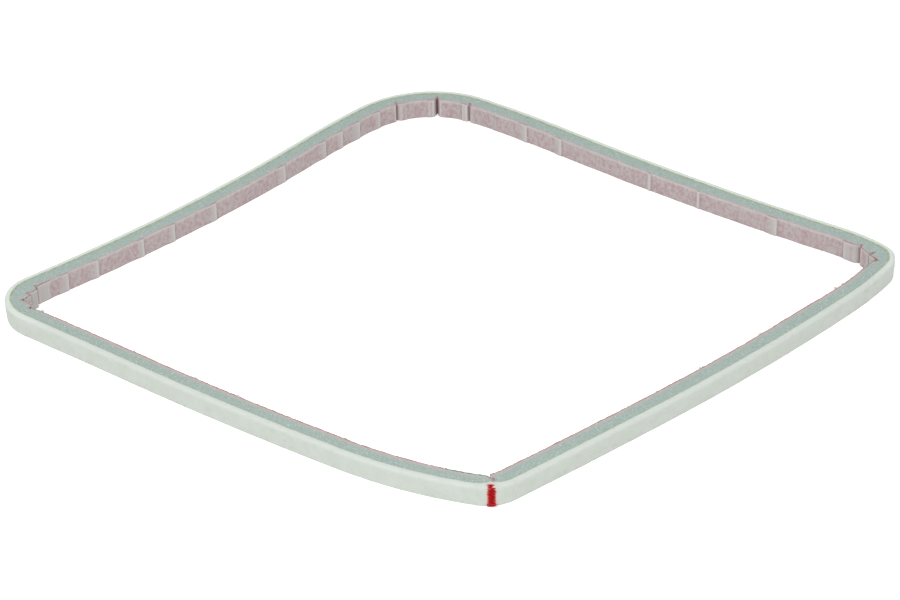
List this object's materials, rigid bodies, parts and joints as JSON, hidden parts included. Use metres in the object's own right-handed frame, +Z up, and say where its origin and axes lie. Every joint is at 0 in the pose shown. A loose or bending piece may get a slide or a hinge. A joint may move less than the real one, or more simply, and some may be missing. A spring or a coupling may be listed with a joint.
{
  "type": "drum felt seal",
  "caption": "Felt and foam strip bent into a loose ring with rounded corners and stitched end to end, with a self-adhesive inner face under release paper.",
  "frame": {"origin": "on the surface that the ring stands on, under the middle of its plan", "axes": "+Z up, along the width of the strip; -Y towards the stitched joint; +X from the left corner to the right one"},
  "size_m": [0.6966, 0.5969, 0.017],
  "materials": {
    "felt": "soft matt pressed felt, pale mint white",
    "glue_film": "thin olive bonding film",
    "foam": "matt grey-green foam with fine cells",
    "adhesive": "satin pink-red adhesive film",
    "release_paper": "translucent light-grey waxed paper",
    "tab_film": "turquoise film",
    "thread": "red twisted sewing thread"
  },
  "bodies": {
    "root": {"felt_facing": "felt", "bonding_film": "glue_film", "foam_core": "foam", "adhesive_film": "adhesive", "release_paper": "release_paper", "starter_tab": "tab_film", "seam_thread": "thread"}
  },
  "joints": []
}
